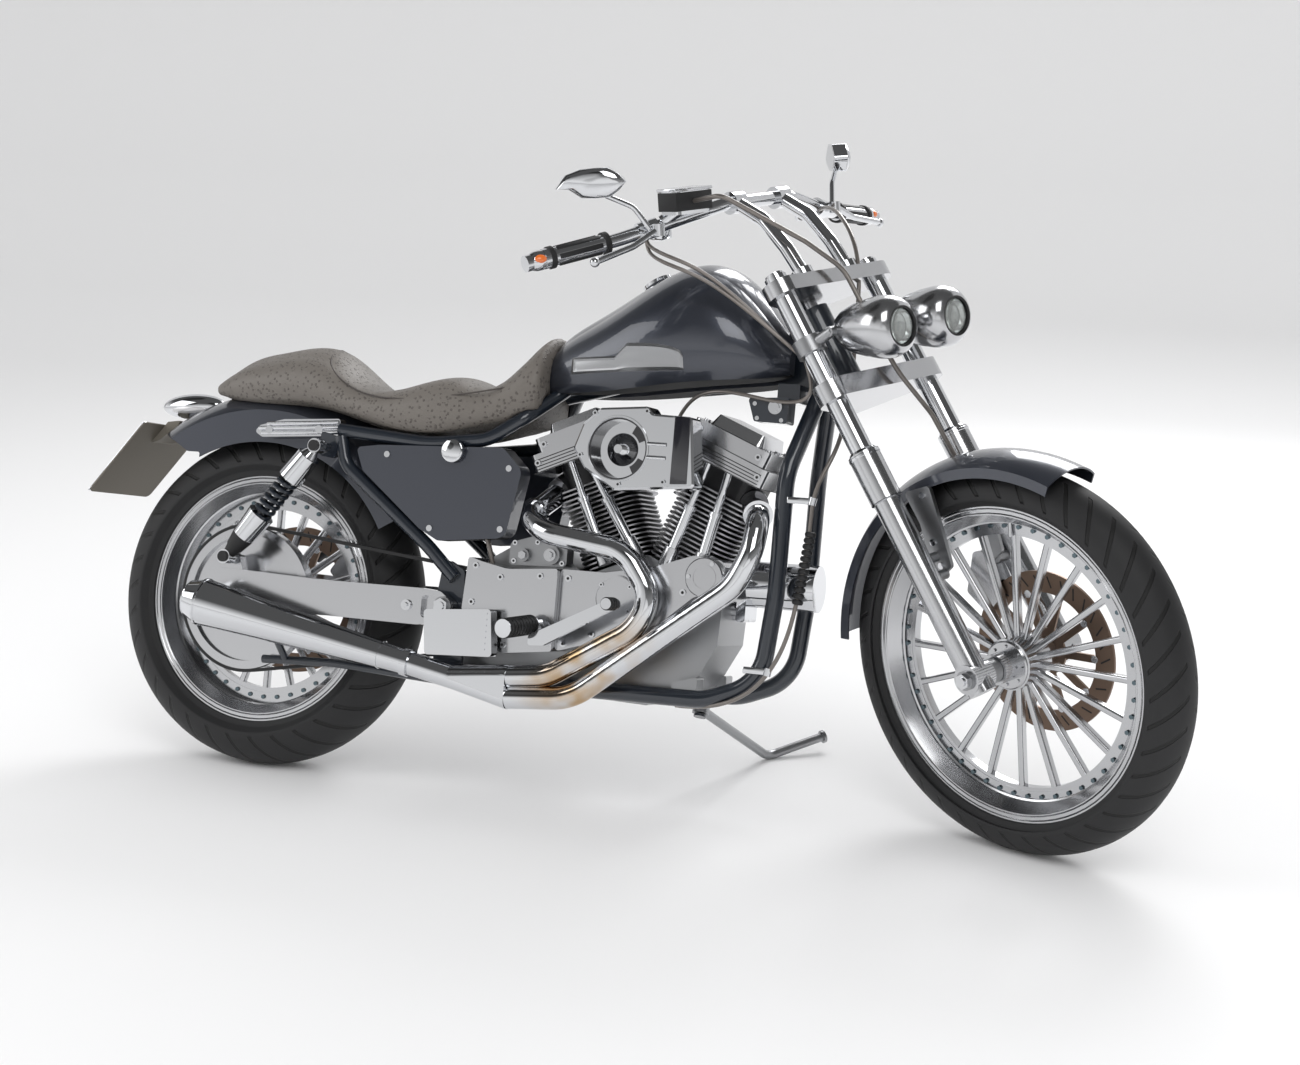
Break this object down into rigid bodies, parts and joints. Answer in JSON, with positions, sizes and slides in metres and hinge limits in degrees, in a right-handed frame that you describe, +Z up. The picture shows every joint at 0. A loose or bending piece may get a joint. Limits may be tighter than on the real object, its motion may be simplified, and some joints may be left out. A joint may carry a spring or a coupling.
{
  "type": "motorcycle",
  "caption": "V-twin cruiser parked on its side stand with the fork turned right: low solo seat, tall risers with a drag bar, belt drive and a conical muffler",
  "frame": {"origin": "centre of the bounding box's footprint, on the road", "axes": "+X runs forward along the machine, +Y to its left, +Z up; the machine stands leaned left on its stand with the fork turned right"},
  "size_m": [2.2221, 0.9354, 1.2211],
  "materials": {
    "paint": "deep charcoal blue metallic, high gloss",
    "frame_paint": "blue-black gloss",
    "tyre": "matt black tread, satin side walls",
    "wheel": "polished",
    "chrome": "mirror plated",
    "steel": "satin machined",
    "disc": "brown heat-tinted, slotted",
    "fins": "satin black with bright fin edges",
    "rubber": "matt",
    "leather": "grey-taupe, bumped grain",
    "lamp": "red lens in a chrome shell",
    "plate": "worn, blank"
  },
  "bodies": {
    "chassis": {"rear_fender": "paint", "fuel_tank": "paint", "side_covers": "paint", "frame_neck": "frame_paint", "frame_cradles": "frame_paint", "frame_rear": "frame_paint", "stand_bracket": "frame_paint", "coil_box": "frame_paint", "swingarm": "wheel", "cam_cover": "wheel", "sprocket_cover": "wheel", "primary_cover": "wheel", "rocker_boxes": "wheel", "engine_cases": "wheel", "rear_caliper": "wheel", "shock_covers": "chrome", "exhaust_headers": "chrome", "muffler": "chrome", "fender_bars": "chrome", "push_rod_tubes": "chrome", "air_cleaner": "chrome", "foot_controls": "chrome", "oil_filter": "chrome", "rear_axle": "steel", "muffler_hanger": "steel", "cylinder_rear": "fins", "cylinder_front": "fins", "shock_springs": "fins", "drive_belt": "rubber", "seat": "leather", "tail_light": "lamp", "licence_plate": "plate"},
    "steering": {"fork_tubes": "steel", "upper_clamp": "wheel", "lower_clamp": "wheel", "fork_sliders": "wheel", "front_axle": "steel", "front_fender": "paint", "fender_stays": "wheel", "front_caliper": "wheel", "handlebar": "chrome", "risers": "chrome", "grips": "rubber", "hand_controls": "chrome", "mirrors": "chrome", "headlights": "chrome", "lamp_bracket": "steel", "brake_hose": "rubber"},
    "front_wheel": {"front_tyre": "tyre", "front_rim": "wheel", "front_disc": "disc"},
    "rear_wheel": {"rear_tyre": "tyre", "rear_rim": "wheel", "rear_disc": "disc", "rear_pulley": "wheel"},
    "side_stand": {"side_stand": "steel"}
  },
  "joints": [
    {"name": "steering", "type": "hinge", "parent": "chassis", "child": "steering", "pos_m": [0.40133, -0.08322, 0.84953], "axis": [-0.5263, 0.1956, 0.8275], "range_deg": [0, 58]},
    {"name": "front_wheel_spin", "type": "hinge", "parent": "steering", "child": "front_wheel", "pos_m": [0.78998, -0.23327, 0.34668], "axis": [0.4122, 0.9099, 0.0471], "continuous": true},
    {"name": "rear_wheel_spin", "type": "hinge", "parent": "chassis", "child": "rear_wheel", "pos_m": [-0.7203, -0.20787, 0.3222], "axis": [0, 0.9732, -0.23], "continuous": true},
    {"name": "side_stand", "type": "hinge", "parent": "chassis", "child": "side_stand", "pos_m": [0.16008, -0.12447, 0.1621], "axis": [0, 0.5373, 0.8434], "range_deg": [0, 85]}
  ]
}
